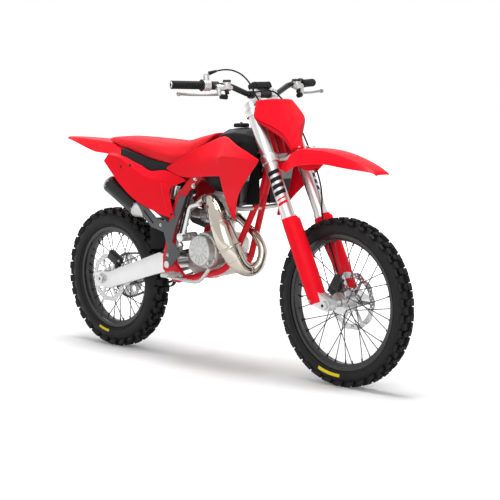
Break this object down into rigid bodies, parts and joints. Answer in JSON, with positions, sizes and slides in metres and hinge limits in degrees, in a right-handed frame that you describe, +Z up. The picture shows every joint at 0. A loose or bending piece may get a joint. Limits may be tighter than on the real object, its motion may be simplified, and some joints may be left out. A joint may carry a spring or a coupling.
{
  "type": "motocross bike",
  "caption": "Motocross bike with red bodywork, knobby tyres on wire wheels, an upside-down fork, a single rear shock and a swelling exhaust pipe beside its engine.",
  "frame": {"origin": "the low point of the seat's top, on the middle plane, where the rider sits; the ground is 874 mm below it and the rear axle 452 mm behind it", "axes": "+X forward, +Y to the rider's left, +Z up, with the bike level on both tyres and the steering straight"},
  "size_m": [1.8984, 0.7666, 1.164],
  "materials": {
    "red_plastic": "glossy moulded red",
    "dark_red_plastic": "glossy moulded red",
    "red_metal": "gloss red paint",
    "seat_cover": "red vinyl, matte on top",
    "black_plastic": "satin moulded black",
    "grey_plastic": "satin moulded grey",
    "black_rubber": "matte",
    "tyre_rubber": "matte black rubber",
    "black_rim": "black anodised, satin",
    "spoke_steel": "drawn steel",
    "bright_steel": "ground steel",
    "chain_steel": "oiled steel",
    "silver_alloy": "satin alloy",
    "cast_alloy": "cast alloy",
    "case_alloy": "painted cast alloy",
    "dark_alloy": "dark anodised alloy",
    "nickel_steel": "nickel plated steel",
    "black_can": "satin black",
    "white_spring": "gloss white",
    "bar_black": "satin black"
  },
  "bodies": {
    "chassis": {"frame": "red_metal", "subframe": "dark_alloy", "swingarm": "silver_alloy", "rear_axle": "bright_steel", "rear_caliper": "dark_alloy", "shock_body": "silver_alloy", "shock_spring": "white_spring", "chain": "chain_steel", "crankcase": "case_alloy", "clutch_cover": "cast_alloy", "cylinder": "cast_alloy", "carburettor": "cast_alloy", "airbox": "black_plastic", "exhaust_pipe": "nickel_steel", "silencer": "black_can", "radiators": "dark_alloy", "shrouds": "red_plastic", "side_panels": "red_plastic", "frame_guards": "grey_plastic", "rear_fender": "red_plastic", "mud_flap": "black_plastic", "seat": "seat_cover", "fuel_tank": "black_plastic", "tank_cap": "black_plastic", "foot_controls": "bright_steel", "kick_lever": "silver_alloy"},
    "steering": {"fork_clamps": "silver_alloy", "outer_tubes": "silver_alloy", "lower_legs": "bright_steel", "fork_guards": "red_plastic", "front_fender": "red_plastic", "number_plate": "dark_red_plastic", "handlebar": "bar_black", "bar_pad": "black_rubber", "grips": "black_rubber", "throttle_housing": "silver_alloy", "right_controls": "silver_alloy", "left_controls": "silver_alloy", "front_axle": "bright_steel", "front_caliper": "dark_alloy", "steer_cables": "black_rubber"},
    "front_wheel": {"front_tyre": "tyre_rubber", "front_rim": "black_rim", "front_spokes": "spoke_steel", "front_hub": "silver_alloy", "front_disc": "bright_steel"},
    "rear_wheel": {"rear_tyre": "tyre_rubber", "rear_rim": "black_rim", "rear_spokes": "spoke_steel", "rear_hub": "silver_alloy", "rear_disc": "bright_steel", "rear_sprocket": "bright_steel"}
  },
  "joints": [
    {"name": "steering", "type": "hinge", "parent": "chassis", "child": "steering", "pos_m": [0.48198, 0, 0.03111], "axis": [-0.4226, 0, 0.9063], "range_deg": [-42, 42]},
    {"name": "front_wheel", "type": "hinge", "parent": "steering", "child": "front_wheel", "pos_m": [0.838, 0, -0.562], "axis": [0, 1, 0], "continuous": true},
    {"name": "rear_wheel", "type": "hinge", "parent": "chassis", "child": "rear_wheel", "pos_m": [-0.452, 0, -0.58], "axis": [0, 1, 0], "continuous": true}
  ]
}
